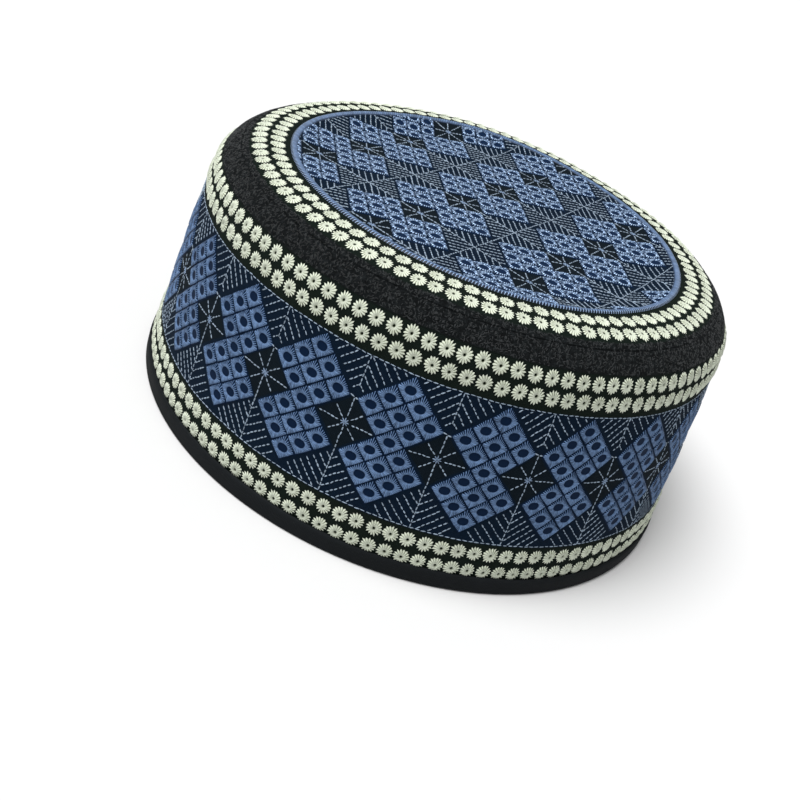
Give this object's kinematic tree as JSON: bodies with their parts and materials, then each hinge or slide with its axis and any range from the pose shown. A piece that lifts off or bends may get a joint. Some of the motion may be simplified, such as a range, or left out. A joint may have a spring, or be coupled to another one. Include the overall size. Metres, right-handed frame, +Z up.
{
  "type": "embroidered kufi cap",
  "caption": "Stiff round brimless cap with a flat crown, rounded upper edge, tall slightly tapering side band and a folded binding round the rim; open below for the head.",
  "frame": {"origin": "Middle of the rim, on the surface that the cap stands on.", "axes": "+Z up through the middle of the crown; the cap looks alike from all sides, and +Y points away from the viewer of the picture."},
  "size_m": [0.188, 0.188, 0.0811],
  "materials": {
    "crown_cotton": "black cotton with blue and cream embroidery, matt",
    "side_cotton": "black cotton with blue and cream embroidery, matt",
    "hem_cotton": "plain black cotton, matt"
  },
  "bodies": {
    "root": {"crown": "crown_cotton", "side_band": "side_cotton", "hem_binding": "hem_cotton"}
  },
  "joints": []
}
